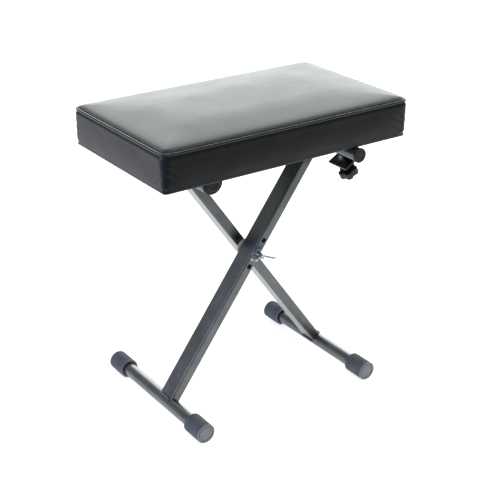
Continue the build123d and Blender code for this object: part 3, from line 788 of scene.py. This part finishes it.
# %% Find the bars
def loose_parts(piece):
    """The box of each separate solid in a mesh, as (low, high)."""
    mesh = bmesh.new()
    mesh.from_mesh(piece.data)
    mesh.verts.ensure_lookup_table()
    bmesh.ops.remove_doubles(mesh, verts=mesh.verts, dist=1e-6)
    mesh.verts.ensure_lookup_table()
    seen, boxes = set(), []
    for v in mesh.verts:
        if v.index in seen:
            continue
        island, todo = [], [v]
        seen.add(v.index)
        while todo:
            at = todo.pop()
            island.append(at.co.copy())
            for e in at.link_edges:
                other = e.other_vert(at)
                if other.index not in seen:
                    seen.add(other.index)
                    todo.append(other)
        boxes.append((Vector(min(c[k] for c in island) for k in range(3)),
                      Vector(max(c[k] for c in island) for k in range(3))))
    mesh.free()
    return boxes


print("bars on the front frame:", len(loose_parts(frame["nodes"]["front_frame_welds"])))

# %% [markdown]
# ## Lay the beads
# A bead of weld is a row of small overlapping puddles, laid about 3 mm apart. Each bar gets a rippled bead of
# the same length whose thickness rises and falls with every puddle and tapers at both ends.

# %% Lay the welds
PUDDLE = 3.2 * MM
BEAD_STEPS = 90

for body in ("front_frame", "rear_frame"):
    beads = []
    for number, (low_bead, high_bead) in enumerate(loose_parts(frame["nodes"][body + "_welds"])):
        middle = (low_bead + high_bead) / 2
        path = [Vector((middle.x, low_bead.y + (high_bead.y - low_bead.y) * n / BEAD_STEPS,
                        middle.z)) for n in range(BEAD_STEPS + 1)]
        radii = []
        for n, at in enumerate(path):
            puddle = abs(math.sin(math.pi * (at.y - low_bead.y) / PUDDLE + 0.7 * number))
            end = min(1.0, (min(n, BEAD_STEPS - n) + 1) / 6) ** 0.5
            radii.append((2.1 + 0.5 * puddle + 0.25 * noise.noise(at * 300)) * MM * end)
        beads.append(sweep(f"{body}_weld_bead_{number}", path, 0, sides=12, closed=False, radii=radii))
    for bead in beads:
        bead.data.materials.append(weld_coat)
        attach(bead, body)
    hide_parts(body + "_welds")
    print(body, "weld beads:", len(beads))

# %% [markdown]
# ## Screw threads
# The free ends of the pivot bolt and of the clamp knob's stud show their M8 thread, with a pitch of 1.25 mm.
# A thread is a thin ridge wound on the shank, so a helix of many short steps is swept with a small
# section. It stands 0.3 mm proud of the CAD shank, which stays as the core.

# %% Wind the threads
PITCH = 1.25 * MM
SHANK = 4.0 * MM
TURN_STEPS = 24      # straight steps in one turn of the thread


def thread(name, origin, along, length, body):
    """A helical ridge on a shank, from `origin` for `length` in the direction `along`."""
    along = along.normalized()
    across = along.orthogonal().normalized()
    up = along.cross(across)
    steps = int(length / PITCH * TURN_STEPS)
    path = [origin + along * (length * n / steps) + (SHANK + 0.02 * MM) * (
            math.cos(2 * math.pi * n / TURN_STEPS) * across + math.sin(2 * math.pi * n / TURN_STEPS) * up)
            for n in range(steps + 1)]
    ridge = sweep(name, path, 0.28 * MM, sides=6, closed=False)
    ridge.data.materials.append(plated)
    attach(ridge, body)


pivot_hinge = next(j for j in frame["joints"] if j["name"] == "scissor_fold")
bolt_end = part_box("pivot_bolt")[0].y
pivot = Vector((0, bolt_end + 0.5 * MM, pivot_hinge["pos_m"][2]))
thread("pivot_bolt_thread", pivot, Vector((0, 1, 0)), 14 * MM, "rear_frame")
knob_hinge = next(j for j in frame["joints"] if j["name"] == "clamp_knob_turn")
stud_axis = Vector(knob_hinge["axis"]).normalized()
stud_start = Vector(knob_hinge["pos_m"]) + stud_axis * 13.4 * MM
thread("clamp_stud_thread", stud_start, stud_axis, 5.0 * MM, "clamp_knob")
thread("clamp_stud_thread_outer", Vector(knob_hinge["pos_m"]) + stud_axis * 29.0 * MM, stud_axis, 7.5 * MM,
       "clamp_knob")
print("threads wound at pitch", PITCH / MM, "mm")

# %% [markdown]
# ## Floor
# The bench stands on a lit white acrylic sheet, as product studios use for a pure white ground. It glows
# a little, which also fills the underside of the bench with soft light. It fades to a plain grey studio floor
# away from the bench, so that the front of the seat mirrors something darker than its top does.

# %% Lit acrylic sheet
GLOW_MIDDLE = (1.9, 2.7, 0.0)
GLOW_LIT, GLOW_GONE = 3.5, 4.2      # metres from the middle of the glow


def floor_finish(middle, lit, dark):
    """White acrylic lit from below within `lit` metres of a point, then fading to grey at `dark` metres."""
    material, tree, shader, place = bare("white_acrylic_sheet_lit")
    away = add(tree, "VectorMath", {0: place, 1: middle}, operation="DISTANCE").outputs["Value"]
    far = add(tree, "MapRange", {"Value": away, "From Min": lit, "From Max": dark},
              interpolation_type="SMOOTHSTEP").outputs["Result"]
    cloud = add(tree, "TexNoise", {"Vector": place, "Scale": per(400.0), "Detail": 3.0,
                                   "Roughness": CLOUDY}).outputs["Fac"]
    share = add(tree, "MapRange", {"Value": cloud, "From Min": 0.35, "From Max": 0.65}).outputs["Result"]
    white = add(tree, "MixRGB", {"Fac": share, "Color1": linear("#f2f2f2"),
                                 "Color2": linear("#f8f8f8")}).outputs["Color"]
    ground = add(tree, "MixRGB", {"Fac": far, "Color1": white, "Color2": linear("#a8a8a8")}).outputs["Color"]
    glow = add(tree, "MapRange", {"Value": far, "To Min": 0.70, "To Max": 0.0}).outputs["Result"]
    fill(tree, shader, {"Base Color": ground, "Emission Strength": glow, "Roughness": 0.8,
                        "Specular IOR Level": 0.2, "Emission Color": linear("#ffffff")})
    return material


floor = mesh_object("studio_floor", [(-12, -12, 0), (12, -12, 0), (12, 12, 0), (-12, 12, 0)],
                    [(0, 1, 2, 3)])
floor.data.materials.append(floor_finish(GLOW_MIDDLE, GLOW_LIT, GLOW_GONE))
print("floor:", [round(d, 1) for d in floor.dimensions], "m")

# %% [markdown]
# ## Light
# Product light is broad and soft. The satin top of the seat acts as a blurred mirror, so it shows whatever
# stands behind the bench at a low angle: a bright backdrop there makes the top pale, and the darker room
# above it makes the rolled front edge dark. The room is a sky that is bright in that one direction and dim
# elsewhere, and three panels add shape.


# %% Room and light panels
def room(backdrop, rest):
    """A dim room with a bright backdrop behind the bench."""
    world = bpy.data.worlds.new("studio room")
    scene.world = world
    world.use_nodes = True
    tree = world.node_tree
    way = add(tree, "TexCoord").outputs["Generated"]
    behind = add(tree, "VectorMath", {0: way, 1: (0.55, 0.80, 0.24)},
                 operation="DOT_PRODUCT").outputs["Value"]
    level = add(tree, "MapRange", {"Value": behind, "From Min": 0.78, "From Max": 0.97, "To Min": rest,
                                   "To Max": backdrop}, interpolation_type="SMOOTHSTEP").outputs["Result"]
    tree.links.new(level, tree.nodes["Background"].inputs["Strength"])
    tree.nodes["Background"].inputs["Color"].default_value = linear("#f6fdfb")


room(backdrop=3.3, rest=0.42)
AIM = Vector((0, 0, 0.35))


def panel(name, at, size, power, colour):
    """A soft rectangular light aimed at the bench."""
    light = bpy.data.lights.new(name, "AREA")
    light.shape, light.size, light.size_y = "RECTANGLE", size[0], size[1]
    light.energy, light.color = power, linear(colour)[:3]
    lamp = bpy.data.objects.new(name, light)
    lamp.location = at
    lamp.rotation_euler = (AIM - Vector(at)).to_track_quat("-Z", "Y").to_euler()
    scene.collection.objects.link(lamp)


panel("panel behind", (1.9, 2.6, 1.3), (3.2, 1.4), 25, "#fbfffd")
panel("panel left", (-2.6, 0.6, 1.0), (1.4, 1.6), 40, "#b9c3ff")
panel("panel above", (-0.3, -0.6, 2.6), (1.6, 1.6), 20, "#ffffff")

# %% [markdown]
# ## Camera
# The view is from the front left and above, with a long lens, as in a catalogue picture: the bench then shows
# its top, its long side and one end, with little perspective.

# %% Camera
CAMERA_PLACE = Vector((-1.1105, -1.5653, 1.1686))
CAMERA_TURN, CAMERA_TILT, CAMERA_ROLL = (math.radians(a) for a in (35.228, 24.583, 0.294))
LENS, SENSOR = 84.3, 36.0      # millimetres
view = bpy.data.cameras.new("camera")
view.lens, view.sensor_width = LENS, SENSOR
camera = bpy.data.objects.new("camera", view)
camera.matrix_world = (Matrix.Translation(CAMERA_PLACE) @ Matrix.Rotation(-CAMERA_TURN, 4, "Z")
                       @ Matrix.Rotation(math.pi / 2 - CAMERA_TILT, 4, "X")
                       @ Matrix.Rotation(CAMERA_ROLL, 4, "Z"))
scene.collection.objects.link(camera)
scene.camera = camera
scene.view_settings.view_transform = "Standard"
print("camera", round(CAMERA_PLACE.length, 2), "m from the bench")
